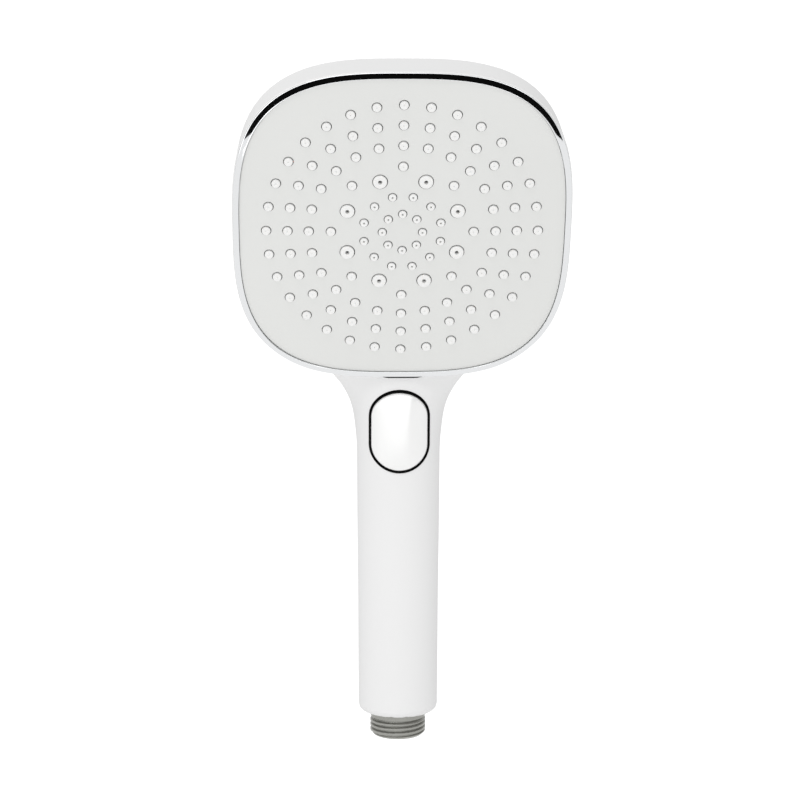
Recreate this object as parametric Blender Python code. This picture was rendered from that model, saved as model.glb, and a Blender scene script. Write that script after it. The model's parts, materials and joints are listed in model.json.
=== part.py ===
"""Handheld shower head with a spray selector button, in metres, +Z up.

The handle stands along Z with the centre of the inlet's end face at the origin. The spray
face looks towards -Y and down. Head pieces are drawn in a frame whose Z is the outward normal
of the face, valve pieces in a frame whose Z is the direction in which the button is pressed.
"""

import math

import bmesh
import bpy
from mathutils import Matrix, Vector

MM = 0.001
GAP = 0.3 * MM  # clearance between neighbouring pieces

# Head: squircle of exponent SQUIRCLE, tilted down by HEAD_TILT
HEAD_TILT = math.radians(22.0)
HEAD_CENTRE = Vector((0.0, -39.5, 194.75)) * MM
SQUIRCLE = 3.05
HEAD_HALF = 60.0 * MM
SIDE_DEPTH = 13.8 * MM  # straight side of the shell behind the face
DOME_DEPTH = 12.2 * MM
WALL = 2.4 * MM
RIM_TOP, RIM_CHAMFER = -1.3 * MM, 0.4 * MM
REBATE_HALF, REBATE_DEPTH = 58.9 * MM, 6.3 * MM
HEAD_SEGMENTS = 40
DOME_TURNS = (0, 5, 18, 36, 54, 72)  # degrees from the side towards the pole

# Face plate
PLATE_HALF = 57.5 * MM
PLATE_BACK = -2.8 * MM
PLATE_EDGE = -1.1 * MM
CROWN_BASE, CROWN_RISE = -0.5 * MM, 1.4 * MM
CROWN_RADIUS = 48.0 * MM
BOSS_AT, BOSS_RADIUS, BOSS_BORE = 38.6 * MM, 2.6 * MM, 1.3 * MM
BOSS_END = -11.1 * MM

# Nozzles: rings of (zone, radius, count, first angle in degrees, nozzle radius, bore radius)
NOZZLE_RINGS = (
    ("outer", 48.0 * MM, 32, 0.0, 1.6 * MM, 0.0),
    ("outer", 40.5 * MM, 28, 0.0, 1.6 * MM, 0.0),
    ("outer", 33.0 * MM, 24, 0.0, 1.6 * MM, 0.0),
    ("massage", 25.2 * MM, 8, 0.0, 1.6 * MM, 0.0),
    ("massage", 21.0 * MM, 8, 22.5, 2.5 * MM, 0.75 * MM),
    ("inner", 14.0 * MM, 12, 15.0, 1.4 * MM, 0.0),
    ("inner", 7.1 * MM, 8, 0.0, 1.4 * MM, 0.0),
)
NOZZLE_SIDES = 6
NOZZLE_RISE = 1.3 * MM  # above the face
MAT_TOP, MAT_BACK = PLATE_BACK - GAP, PLATE_BACK - GAP - 1.2 * MM
ZONE_RADII = {"outer": (29.3 * MM, 51.4 * MM), "massage": (16.9 * MM, 28.9 * MM)}
INNER_MAT_RADIUS = 16.5 * MM
ZONE_SEGMENTS = 24

# Chamber plate, gasket and back plate
WALL_TOP = MAT_BACK - GAP
FLOOR_FRONT, FLOOR_BACK = -8.4 * MM, -10.0 * MM
CHAMBER_RADIUS = 51.6 * MM
ZONE_WALLS = ((49.8 * MM, CHAMBER_RADIUS), (28.2 * MM, 30.0 * MM), (16.0 * MM, 17.6 * MM))
GASKET_RADIUS = 50.6 * MM
GASKET_FRONT, GASKET_BACK = FLOOR_BACK - GAP, FLOOR_BACK - GAP - 0.8 * MM
BACK_FRONT, BACK_BACK = GASKET_BACK - GAP, GASKET_BACK - GAP - 2.0 * MM
BACK_HALF = 54.0 * MM
CHANNEL_XS = (-7.8 * MM, 0.0, 7.8 * MM)
CHANNEL_ENDS = (-36.0 * MM, -22.5 * MM, 0.0)  # where each channel meets its zone
CHANNEL_START = -36.0 * MM
CHANNEL_WIDTH = 3.2 * MM
SPIGOT_W = -16.2 * MM
SPIGOT_RADIUS, SPIGOT_BORE = 2.1 * MM, 1.3 * MM
SPIGOT_SEAL = 0.5 * MM
PAD_END = -43.0 * MM
SPIGOT_END = -50.5 * MM
PAD_HALF = 12.6 * MM
PAD_STEP = -30.0 * MM  # where the deep pad of the spigots meets the flat one of the channels
CHANNEL_PAD_BACK, CHANNEL_PAD_TOP = -16.4 * MM, 4.0 * MM
GROOVE_FLOOR = -14.6 * MM
SCREW_HOLE = 1.5 * MM

# Handle and neck: sections (y, z, forward tilt in degrees, half width, half depth) in mm
SHELL_BOTTOM = 9.7 * MM
HANDLE_SECTIONS = (
    (0.0, 9.7, 0, 12.9, 12.9),
    (0.0, 10.3, 0, 13.9, 13.9),
    (0.0, 11.4, 0, 14.5, 14.5),
    (0.0, 13.5, 0, 14.7, 14.7),
    (0.0, 53.0, 0, 14.9, 14.9),
    (0.0, 75.0, 0, 15.2, 15.2),
    (0.0, 98.0, 0, 15.4, 15.4),
    (0.0, 113.0, 0, 15.6, 15.6),
    (0.0, 119.0, 0, 16.2, 15.8),
    (0.0, 124.0, 0, 16.9, 15.9),
    (0.0, 128.5, 1, 18.0, 15.9),
    (-0.2, 133.0, 3, 20.3, 15.7),
    (-0.3, 137.6, 6, 23.5, 15.2),
    (-1.6, 148.0, 12, 30.0, 13.8),
    (-4.6, 154.0, 15, 32.0, 13.0),
    (-9.0, 160.0, 18, 33.0, 11.6),
    (-18.0, 170.0, 22, 33.0, 10.0),
    (-26.0, 178.0, 22, 28.0, 6.0),
)
HANDLE_BORE = 12.2
BORE_TOP = 32.0
SHELL_WALL = 2.35
LOFT_SEGMENTS = 24

# Button
BUTTON_Z = 119.0 * MM
TRAVEL = 3.0 * MM
BEZEL_HALF_WIDTH, BEZEL_HALF_HEIGHT = 11.0 * MM, 15.1 * MM
STRAIGHT_HALF = 5.2 * MM  # half of the straight part of the oval
BEZEL_LIP = 0.7 * MM  # how far the flange covers the shell
BEZEL_RIM = 1.2 * MM
BUTTON_SPAN = (75.0, 174.0)  # mm of neck that its front is lofted over
BEZEL_BACK = -11.2 * MM
BEZEL_RAISE, FLANGE_GAP = 0.35, 0.12  # mm above the neck
CAP_RAISE = 0.45  # mm above the neck
CAP_BACK = -10.0 * MM
CAP_WALL, CAP_CROWN_WALL = 1.5 * MM, 1.9
CAP_BOSS_RADIUS, CAP_BOSS_FRONT = 3.6 * MM, -14.9 * MM
OVAL_ARC_STEPS = 7

# Valve, along the press direction; 0 is the middle of the handle
BARREL_RADIUS, BARREL_BORE = 8.6 * MM, 6.3 * MM
BARREL_FRONT, BARREL_END, BARREL_FLOOR = -4.0 * MM, 10.6 * MM, 9.4 * MM
COVER_FRONT, COVER_BACK = -6.7 * MM, -4.3 * MM
SCREW_SEAT, SCREW_SEAT_RADIUS, EAR_BORE = -5.3 * MM, 1.52 * MM, 0.9 * MM
RING_SEAT, RING_SEAT_RADIUS, RING_AT = -5.15 * MM, 3.7 * MM, -6.05 * MM
RING_WIRE = 0.55 * MM
EAR_AT, EAR_RADIUS = 9.6 * MM, 1.7 * MM
STEM_RADIUS, STEM_FRONT, PIN_RADIUS = 1.8 * MM, -12.4 * MM, 0.8 * MM
COLLAR_RADIUS, COLLAR_FRONT, COLLAR_BACK = 3.2 * MM, -1.5 * MM, -0.7 * MM
TAIL_RADIUS, TAIL_END = 1.5 * MM, 2.0 * MM
PIN_REACH = 5.7 * MM
PIN_AT = -2.4 * MM
DRUM_RADIUS, DRUM_BORE = 6.0 * MM, 4.4 * MM
DRUM_FRONT, DRUM_BACK = -3.9 * MM, 5.7 * MM
TURN_PER_PRESS = math.radians(60.0)
SLOT_HALF_WIDTH = 1.25 * MM
PORT_AT, PORT_RADIUS = 3.6 * MM, 1.5 * MM
OUTLET_ANGLES = (-60.0, 0.0, 60.0)
INLET_AT = 6.8 * MM
INLET_RADIUS, INLET_BORE = 3.6 * MM, 2.4 * MM
INLET_END = 16.0 * MM  # below the valve's axis
SPRING_FRONT, SPRING_BACK = -0.35 * MM, 9.05 * MM
SPRING_RADIUS, WIRE_RADIUS, SPRING_TURNS = 2.5 * MM, 0.38 * MM, 5.0

SLOT_STEPS = 6
SPRING_STEPS = 9  # path points in one turn

# Manifold: a straight run behind the valve, then a run along the spigots
MANIFOLD_FOOT, MANIFOLD_BEND = 121.2 * MM, 131.0 * MM
SPIGOT_RUN = -70.0 * MM
MANIFOLD_WIDTHS = (11.0 * MM, 11.0 * MM, 11.6 * MM, 12.0 * MM)
MANIFOLD_THICKS = (3.0 * MM, 3.0 * MM, 3.1 * MM, 3.2 * MM)
MANIFOLD_BORE, SOCKET_RADIUS = 2.0 * MM, 2.4 * MM

# Inlet connector
THREAD_RADIUS, THREAD_ROOT, PITCH = 10.4775 * MM, 9.45 * MM, 1.814 * MM
THREAD_START, THREAD_END = 0.9 * MM, 6.6 * MM
THREAD_ROWS_PER_PITCH = 5
INLET_WAY, FILTER_STEP = 7.0 * MM, 12.0 * MM
PLUG_RADIUS, PLUG_TOP = 11.9 * MM, 26.0 * MM
SEAL_GROOVE, SEAL_RADIUS = (16.8 * MM, 18.8 * MM), 10.2 * MM
SEAT_RADIUS, SEAT_FLOOR = 8.0 * MM, 23.7 * MM
TUBE_RADIUS, TUBE_BORE = 5.6 * MM, 4.2 * MM
TUBE_BOTTOM, TUBE_TOP = 20.5 * MM, 109.5 * MM
LEAN_FROM, LEAN_TO = 34.0 * MM, 92.0 * MM
INSERT_RADIUS = 6.7 * MM
RESTRICTOR_SPAN, RESTRICTOR_BORE, RESTRICTOR_STEP = (7.7 * MM, 11.6 * MM), 1.5 * MM, 9.6 * MM
FILTER_SPAN, FILTER_HOLE, FILTER_CIRCLE = (5.8 * MM, 7.2 * MM), 1.0 * MM, 4.2 * MM
THREAD_SEGMENTS = 20
ROUND_SEGMENTS = 18

cutters = bpy.data.collections.new("cutters")


# ---------------------------------------------------------------- helpers
def clear_scene():
    for obj in list(bpy.data.objects):
        bpy.data.objects.remove(obj, do_unlink=True)
    bpy.context.scene.collection.children.link(cutters)
    cutters.hide_render = True


def frame(origin, x_axis, y_axis, z_axis):
    turn = Matrix((x_axis, y_axis, z_axis)).transposed().to_4x4()
    return Matrix.Translation(origin) @ turn


HEAD = frame(
    HEAD_CENTRE,
    (1, 0, 0),
    (0, -math.sin(HEAD_TILT), math.cos(HEAD_TILT)),
    (0, -math.cos(HEAD_TILT), -math.sin(HEAD_TILT)),
)
VALVE = frame((0, 0, BUTTON_Z), (1, 0, 0), (0, 0, -1), (0, 1, 0))
HANDLE = Matrix.Identity(4)


def material(name, colour, roughness, metallic=0.0):
    found = bpy.data.materials.get(name)
    if found:
        return found
    made = bpy.data.materials.new(name)
    made.use_nodes = True
    shader = made.node_tree.nodes["Principled BSDF"]
    shader.inputs["Base Color"].default_value = (*colour, 1.0)
    shader.inputs["Roughness"].default_value = roughness
    shader.inputs["Metallic"].default_value = metallic
    made.diffuse_color = (*colour, 1.0)
    return made


WHITE = material("white_gloss_abs", (0.86, 0.86, 0.85), 0.18)
CHROME = material("polished_chrome", (0.83, 0.84, 0.85), 0.06, 1.0)
FACE_GREY = material("face_grey_abs", (0.72, 0.72, 0.70), 0.35)
SILICONE = material("white_silicone", (0.84, 0.84, 0.83), 0.55)
ENGINE = material("engine_pom", (0.60, 0.62, 0.64), 0.45)
RUBBER = material("black_rubber", (0.03, 0.03, 0.03), 0.75)
STEEL = material("stainless_steel", (0.62, 0.61, 0.59), 0.28, 1.0)
GREY = material("grey_connector", (0.42, 0.42, 0.39), 0.40, 0.3)
VALVE_GREY = material("valve_pom", (0.30, 0.33, 0.36), 0.42)
DRUM_BLUE = material("drum_pom", (0.16, 0.27, 0.42), 0.40)
TUBE_WHITE = material("tube_pe", (0.75, 0.78, 0.80), 0.38)
FILTER_GREEN = material("restrictor_pom", (0.20, 0.42, 0.30), 0.45)


def from_bmesh(bm, name, place, skin, smooth=True):
    bmesh.ops.recalc_face_normals(bm, faces=bm.faces)
    mesh = bpy.data.meshes.new(name)
    bm.to_mesh(mesh)
    bm.free()
    obj = bpy.data.objects.new(name, mesh)
    obj.matrix_world = place
    if skin is None:
        cutters.objects.link(obj)
        obj.hide_render = True
        obj.display_type = "WIRE"
        return obj
    mesh.materials.append(skin)
    bpy.context.scene.collection.objects.link(obj)
    if smooth:
        mesh.shade_smooth()
        mesh.set_sharp_from_angle(angle=math.radians(35.0))
    return obj


def stack_rings(bm, rings, closed):
    """Faces between rings of points; a ring of one point is a pole. Open stacks are capped."""
    made = [[bm.verts.new(point) for point in ring] for ring in rings]
    pairs = list(zip(made, made[1:] + made[:1] if closed else made[1:]))
    for low, high in pairs:
        count = max(len(low), len(high))
        for i in range(count):
            j = (i + 1) % count
            if len(low) == 1:
                bm.faces.new((low[0], high[j], high[i]))
            elif len(high) == 1:
                bm.faces.new((low[i], low[j], high[0]))
            else:
                bm.faces.new((low[i], low[j], high[j], high[i]))
    if not closed:
        for ring in (made[0], made[-1]):
            if len(ring) > 2:
                bm.faces.new(ring)


def angles(count, first=0.0):
    return [first + 2 * math.pi * i / count for i in range(count)]


def circle(radius, height, segments, centre=(0.0, 0.0), first=0.0):
    """Ring of points; the radius may be a function of the angle."""
    if radius == 0.0:
        return [(centre[0], centre[1], height)]
    turn = angles(segments, first)
    radii = [radius(t) if callable(radius) else radius for t in turn]
    return [
        (centre[0] + r * math.cos(t), centre[1] + r * math.sin(t), height)
        for r, t in zip(radii, turn)
    ]


def squircle_radius(half, exponent, turn):
    return half / (abs(math.cos(turn)) ** exponent + abs(math.sin(turn)) ** exponent) ** (
        1 / exponent
    )


def squircle(half, height, exponent=SQUIRCLE, segments=HEAD_SEGMENTS):
    if half == 0.0:
        return [(0.0, 0.0, height)]
    return circle(lambda t: squircle_radius(half, exponent, t), height, segments)


def turned(name, profile, place, skin, segments=ROUND_SEGMENTS, centre=(0.0, 0.0), closed=False):
    """Solid of revolution about the frame's Z from (radius, height) points."""
    bm = bmesh.new()
    stack_rings(bm, [circle(r, h, segments, centre) for r, h in profile], closed)
    return from_bmesh(bm, name, place, skin)


def torus(name, radius, thickness, height, place, skin, centre=(0.0, 0.0), segments=12):
    profile = [
        (radius + thickness * math.cos(t), height + thickness * math.sin(t)) for t in angles(6)
    ]
    return turned(name, profile, place, skin, segments, centre, closed=True)


def add_box(bm, low, high):
    outline = ((low[0], low[1]), (high[0], low[1]), (high[0], high[1]), (low[0], high[1]))
    corners = [[(x, y, z) for x, y in outline] for z in (low[2], high[2])]
    stack_rings(bm, corners, False)


def box(name, low, high, place, skin=None):
    bm = bmesh.new()
    add_box(bm, low, high)
    return from_bmesh(bm, name, place, skin, smooth=False)


def rods(name, rod_list, place, skin=None, axis="Z"):
    """Prisms along X, Y or Z: (centre a, centre b, radius, start, end, sides) each."""
    bm = bmesh.new()
    order = {"X": (2, 0, 1), "Y": (1, 2, 0), "Z": (0, 1, 2)}[axis]
    for a, b, radius, start, end, sides in rod_list:
        first = math.pi / sides
        rings = [
            [tuple(point[k] for k in order) for point in circle(radius, h, sides, (a, b), first)]
            for h in (start, end)
        ]
        stack_rings(bm, rings, False)
    return from_bmesh(bm, name, place, skin)


def combine(obj, other, operation):
    modifier = obj.modifiers.new(f"{operation.lower()}_{other.name}", "BOOLEAN")
    modifier.operation = operation
    modifier.solver = "EXACT"
    modifier.object = other


def cut(obj, *others):
    for other in others:
        combine(obj, other, "DIFFERENCE")


def join(obj, *others):
    for other in others:
        combine(obj, other, "UNION")


def soften(obj, width, segments=2, limit=50.0):
    bevel = obj.modifiers.new("soft_edges", "BEVEL")
    bevel.width = width
    bevel.segments = segments
    bevel.limit_method = "ANGLE"
    bevel.angle_limit = math.radians(limit)


# ---------------------------------------------------------------- shell
def section_points(y, z, tilt, half_width, half_depth):
    lean = math.radians(tilt)
    return [
        (
            half_width * MM * math.cos(t),
            (y + half_depth * math.sin(t) * math.cos(lean)) * MM,
            (z + half_depth * math.sin(t) * math.sin(lean)) * MM,
        )
        for t in angles(LOFT_SEGMENTS)
    ]


def neck_loft(name, offset, bottom=None, top=None, skin=None):
    """The outside of the handle and neck, moved outward by offset mm."""
    rings = [
        section_points(y, z, tilt, width + offset, depth + offset)
        for y, z, tilt, width, depth in HANDLE_SECTIONS
        if (bottom is None or z >= bottom) and (top is None or z <= top)
    ]
    bm = bmesh.new()
    stack_rings(bm, rings, False)
    return from_bmesh(bm, name, HANDLE, skin)


def dome_rings(half, side_end, depth):
    rings = []
    for degrees in DOME_TURNS:
        t = math.radians(degrees)
        exponent = SQUIRCLE + (2.0 - SQUIRCLE) * (degrees / 90.0) ** 2
        rings.append(squircle(half * math.cos(t), side_end - depth * math.sin(t), exponent))
    return rings + [squircle(0.0, side_end - depth)]


def head_solid(name, skin):
    rings = [squircle(HEAD_HALF - RIM_CHAMFER, RIM_TOP), squircle(HEAD_HALF, RIM_TOP - RIM_CHAMFER)]
    bm = bmesh.new()
    stack_rings(bm, rings + dome_rings(HEAD_HALF, -SIDE_DEPTH, DOME_DEPTH), False)
    return from_bmesh(bm, name, HEAD, skin)


def head_cavity():
    inner = HEAD_HALF - WALL
    rings = [
        squircle(REBATE_HALF, 3 * MM),
        squircle(REBATE_HALF, -REBATE_DEPTH),
        squircle(inner, -REBATE_DEPTH),
    ]
    bm = bmesh.new()
    stack_rings(bm, rings + dome_rings(inner, -SIDE_DEPTH, DOME_DEPTH - WALL), False)
    return from_bmesh(bm, "head_cavity", HEAD, None)


def neck_cavity():
    rings = [
        section_points(0.0, SHELL_BOTTOM / MM - 3.0, 0, HANDLE_BORE, HANDLE_BORE),
        section_points(0.0, BORE_TOP, 0, HANDLE_BORE, HANDLE_BORE),
    ]
    for y, z, tilt, width, depth in HANDLE_SECTIONS:
        if z > BORE_TOP:
            inset = SHELL_WALL if z < 170 else SHELL_WALL + 0.4
            rings.append(section_points(y, z, tilt, width - inset, depth - inset))
    bm = bmesh.new()
    stack_rings(bm, rings, False)
    return from_bmesh(bm, "neck_cavity", HANDLE, None)


def oval_ring(half_width, half_height, at):
    """Oval with straight sides and slightly flattened ends, in the valve frame."""
    end_rise = half_height - STRAIGHT_HALF
    points = []
    for side in (1, -1):
        for step in range(OVAL_ARC_STEPS + 1):
            t = math.pi * step / OVAL_ARC_STEPS
            points.append(
                (
                    side * half_width * math.cos(t),
                    side * (STRAIGHT_HALF + end_rise * math.sin(t)),
                    at,
                )
            )
    return points


def oval_prism(name, half_width, half_height, start, end, skin=None):
    bm = bmesh.new()
    rings = [oval_ring(half_width, half_height, at) for at in (start, end)]
    stack_rings(bm, rings, False)
    return from_bmesh(bm, name, VALVE, skin)


def build_shell():
    shell = neck_loft("handle_shell", 0.0, skin=WHITE)
    join(shell, helper(head_solid("head_outside", None)))
    cut(shell, head_cavity(), neck_cavity())
    opening = oval_prism(
        "button_opening",
        BEZEL_HALF_WIDTH - BEZEL_LIP + GAP,
        BEZEL_HALF_HEIGHT - BEZEL_LIP + GAP,
        -30 * MM,
        -4 * MM,
    )
    cut(shell, opening)


def helper(obj):
    obj.hide_render = True
    obj.display_type = "WIRE"
    return obj


# ---------------------------------------------------------------- head
def crown(radius):
    """Height of the face at this distance from its centre."""
    return CROWN_BASE + CROWN_RISE * (1 - (min(radius, CROWN_RADIUS) / CROWN_RADIUS) ** 2)


def nozzle_spots(zone=None):
    """(x, y, ring radius, nozzle radius, bore radius) of each nozzle of the zone."""
    spots = []
    for ring_zone, ring, count, first, radius, bore in NOZZLE_RINGS:
        if zone in (None, ring_zone):
            for turn in angles(count, math.radians(90.0 + first)):
                spots.append((ring * math.cos(turn), ring * math.sin(turn), ring, radius, bore))
    return spots


def build_trim_ring():
    section = [
        (57.8, -0.7), (58.3, -0.05), (59.0, 0.2), (59.5, -0.25), (59.6, -1.0),
        (58.6, -1.0), (58.6, -5.9), (56.0, -5.9), (56.0, -3.1), (57.8, -3.1),
    ]
    bm = bmesh.new()
    stack_rings(bm, [squircle(half * MM, height * MM) for half, height in section], True)
    from_bmesh(bm, "trim_ring", HEAD, CHROME)


def build_face_plate():
    rings = [squircle(0.0, crown(0.0))]
    for radius in (25.0, 44.5, 51.6):
        exponent = 2.0 if radius < 50 else 2.5
        rings.append(squircle(radius * MM, crown(radius * MM), exponent))
    rings += [
        squircle(PLATE_HALF - 1.2 * MM, CROWN_BASE - 0.15 * MM),
        squircle(PLATE_HALF, PLATE_EDGE),
        squircle(PLATE_HALF, PLATE_BACK),
    ]
    bm = bmesh.new()
    stack_rings(bm, rings, False)
    plate = from_bmesh(bm, "face_plate", HEAD, FACE_GREY)
    corners = [(x * BOSS_AT, y * BOSS_AT) for x in (-1, 1) for y in (-1, 1)]
    bosses = rods(
        "plate_bosses",
        [(x, y, BOSS_RADIUS, BOSS_END, PLATE_BACK + 1 * MM, 10) for x, y in corners],
        HEAD,
    )
    bores = rods(
        "boss_bores", [(x, y, BOSS_BORE, BOSS_END - 2 * MM, -4.5 * MM, 8) for x, y in corners], HEAD
    )
    holes = rods(
        "nozzle_holes",
        [
            (x, y, radius + GAP, PLATE_BACK - 2 * MM, 4 * MM, NOZZLE_SIDES)
            for x, y, _, radius, _ in nozzle_spots()
        ],
        HEAD,
    )
    join(plate, bosses)
    cut(plate, bores, holes)


def build_mat(name, zone, inner, outer):
    profile = [(outer, MAT_TOP), (outer, MAT_BACK)]
    if inner:
        profile += [(inner, MAT_BACK), (inner, MAT_TOP)]
    mat = turned(name, profile, HEAD, SILICONE, ZONE_SEGMENTS, closed=bool(inner))
    spots = nozzle_spots(zone)
    join(
        mat,
        rods(
            f"{name}_nozzles",
            [
                (x, y, radius, MAT_BACK + 0.4 * MM, crown(ring) + NOZZLE_RISE, NOZZLE_SIDES)
                for x, y, ring, radius, _ in spots
            ],
            HEAD,
        ),
    )
    bored = [
        (x, y, bore, MAT_BACK - 2 * MM, 6 * MM, NOZZLE_SIDES) for x, y, _, _, bore in spots if bore
    ]
    if bored:
        cut(mat, rods(f"{name}_bores", bored, HEAD))


def build_chamber_plate():
    profile = [(0.0, FLOOR_BACK), (CHAMBER_RADIUS, FLOOR_BACK)]
    for inner, outer in ZONE_WALLS:
        profile += [(outer, FLOOR_FRONT), (outer, WALL_TOP), (inner, WALL_TOP), (inner, FLOOR_FRONT)]
    del profile[2]
    profile.append((0.0, FLOOR_FRONT))
    plate = turned("chamber_plate", profile, HEAD, ENGINE, ZONE_SEGMENTS)
    ways = [
        (x, end, CHANNEL_WIDTH / 2, FLOOR_BACK - 2 * MM, FLOOR_FRONT + 2 * MM, 8)
        for x, end in zip(CHANNEL_XS, CHANNEL_ENDS)
    ]
    cut(plate, rods("zone_inlets", ways, HEAD))


def build_gasket():
    gasket = turned(
        "engine_gasket",
        [(GASKET_RADIUS, GASKET_FRONT), (GASKET_RADIUS, GASKET_BACK)],
        HEAD,
        RUBBER,
        ZONE_SEGMENTS,
    )
    ways = [
        (x, end, CHANNEL_WIDTH / 2 + 0.3 * MM, GASKET_BACK - 2 * MM, GASKET_FRONT + 2 * MM, 8)
        for x, end in zip(CHANNEL_XS, CHANNEL_ENDS)
    ]
    cut(gasket, rods("gasket_windows", ways, HEAD))


def build_back_plate():
    bm = bmesh.new()
    stack_rings(bm, [squircle(BACK_HALF, BACK_FRONT), squircle(BACK_HALF, BACK_BACK)], False)
    plate = from_bmesh(bm, "engine_back_plate", HEAD, ENGINE)
    spigot_pad = box(
        "spigot_pad",
        (-PAD_HALF, PAD_END, SPIGOT_W - SPIGOT_RADIUS),
        (PAD_HALF, PAD_STEP, BACK_FRONT - 0.6 * MM),
        HEAD,
    )
    channel_pad = box(
        "channel_pad",
        (-PAD_HALF, PAD_STEP - 1 * MM, CHANNEL_PAD_BACK),
        (PAD_HALF, CHANNEL_PAD_TOP, BACK_FRONT - 0.9 * MM),
        HEAD,
    )
    spigots = rods(
        "spigots",
        [(SPIGOT_W, x, SPIGOT_RADIUS, SPIGOT_END, PAD_END + 1.5 * MM, 12) for x in CHANNEL_XS],
        HEAD,
        axis="Y",
    )
    join(plate, spigot_pad, channel_pad, spigots)
    bores = rods(
        "spigot_bores",
        [
            (SPIGOT_W, x, SPIGOT_BORE, SPIGOT_END - 2 * MM, CHANNEL_START + 1 * MM, 8)
            for x in CHANNEL_XS
        ],
        HEAD,
        axis="Y",
    )
    bm = bmesh.new()
    half = CHANNEL_WIDTH / 2
    for x in CHANNEL_XS:
        add_box(
            bm, (x - half, CHANNEL_START - half, SPIGOT_W - 1.2 * MM), (x + half, CHANNEL_START + half, 0)
        )
    risers = from_bmesh(bm, "channel_risers", HEAD, None, smooth=False)
    bm = bmesh.new()
    for x, end in zip(CHANNEL_XS[1:], CHANNEL_ENDS[1:]):
        add_box(
            bm,
            (x - half + 0.1 * MM, CHANNEL_START, GROOVE_FLOOR),
            (x + half - 0.1 * MM, end + half, 0),
        )
    grooves = from_bmesh(bm, "channel_grooves", HEAD, None, smooth=False)
    holes = rods(
        "screw_holes",
        [
            (x * BOSS_AT, y * BOSS_AT, SCREW_HOLE, BACK_BACK - 2 * MM, BACK_FRONT + 2 * MM, 8)
            for x in (-1, 1)
            for y in (-1, 1)
        ],
        HEAD,
    )
    notch = box("socket_notch", (-PAD_HALF, -60 * MM, -15 * MM), (PAD_HALF, PAD_END, -10 * MM), HEAD)
    cut(plate, bores, risers, grooves, holes, notch)


def build_screw(name, place, centre, under_head, head_radius, head_height, shank_radius, length):
    """Pan head screw with a hex recess; its tip points along the frame's +Z."""
    profile = [
        (0.0, under_head - head_height),
        (head_radius * 0.8, under_head - head_height),
        (head_radius, under_head - head_height * 0.6),
        (head_radius, under_head),
        (shank_radius, under_head),
        (shank_radius, under_head + length - shank_radius),
        (shank_radius * 0.4, under_head + length),
        (0.0, under_head + length),
    ]
    screw = turned(name, profile, place, STEEL, 10, centre)
    top = under_head - head_height
    cut(
        screw,
        rods(
            f"{name}_recess",
            [(*centre, head_radius * 0.5, top - 1 * MM, top + head_height * 0.55, 6)],
            place,
        ),
    )


def build_engine_screws():
    number = 0
    for x in (-1, 1):
        for y in (-1, 1):
            number += 1
            build_screw(
                f"engine_screw_{number}",
                HEAD,
                (x * BOSS_AT, y * BOSS_AT),
                BACK_BACK - GAP,
                2.3 * MM,
                1.3 * MM,
                1.0 * MM,
                8.0 * MM,
            )


def build_spigot_rings():
    rising = HEAD @ Matrix.Rotation(math.radians(90.0), 4, "X")
    at = SPIGOT_RADIUS + GAP + SPIGOT_SEAL
    for number, x in enumerate(CHANNEL_XS, 1):
        torus(
            f"spigot_o_ring_{number}",
            at,
            SPIGOT_SEAL,
            -(PAD_END - GAP - SPIGOT_SEAL),
            rising,
            RUBBER,
            (x, SPIGOT_W),
        )


# ---------------------------------------------------------------- neck and valve
def build_manifold():
    top = PAD_END - 2 * GAP - 2 * SPIGOT_SEAL
    path = [(0.0, Vector((0.0, PORT_AT, z))) for z in (MANIFOLD_FOOT, MANIFOLD_BEND)]
    path += [(HEAD_TILT, HEAD @ Vector((0.0, rise, SPIGOT_W))) for rise in (SPIGOT_RUN, top)]
    rings = []
    for (lean, centre), width, thick in zip(path, MANIFOLD_WIDTHS, MANIFOLD_THICKS):
        depth = Vector((0.0, math.cos(lean), math.sin(lean))) * thick
        side = Vector((width, 0.0, 0.0))
        rings.append(
            [centre + a * side + b * depth for a, b in ((-1, -1), (1, -1), (1, 1), (-1, 1))]
        )
    bm = bmesh.new()
    stack_rings(bm, rings, False)
    manifold = from_bmesh(bm, "neck_manifold", HANDLE, ENGINE, smooth=False)
    soften(manifold, 0.9 * MM, 2, 40.0)
    saddle = turned(
        "saddle_cut", [(BARREL_RADIUS + GAP, -20 * MM), (BARREL_RADIUS + GAP, 20 * MM)], VALVE, None, 22
    )
    lower = rods(
        "lower_channels",
        [(x, PORT_AT, MANIFOLD_BORE, 115 * MM, 136.0 * MM, 10) for x in CHANNEL_XS],
        HANDLE,
    )
    bend = (HEAD.inverted() @ Vector((0.0, PORT_AT, 134.6 * MM))).y
    upper = rods(
        "upper_channels",
        [(SPIGOT_W, x, MANIFOLD_BORE - 0.05 * MM, bend, PAD_END, 10) for x in CHANNEL_XS],
        HEAD,
        axis="Y",
    )
    sockets = rods(
        "spigot_sockets",
        [
            (SPIGOT_W, x, SOCKET_RADIUS, SPIGOT_END - 1.0 * MM, PAD_END + 3 * MM, 12)
            for x in CHANNEL_XS
        ],
        HEAD,
        axis="Y",
    )
    cut(manifold, saddle, lower, upper, sockets)


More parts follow.
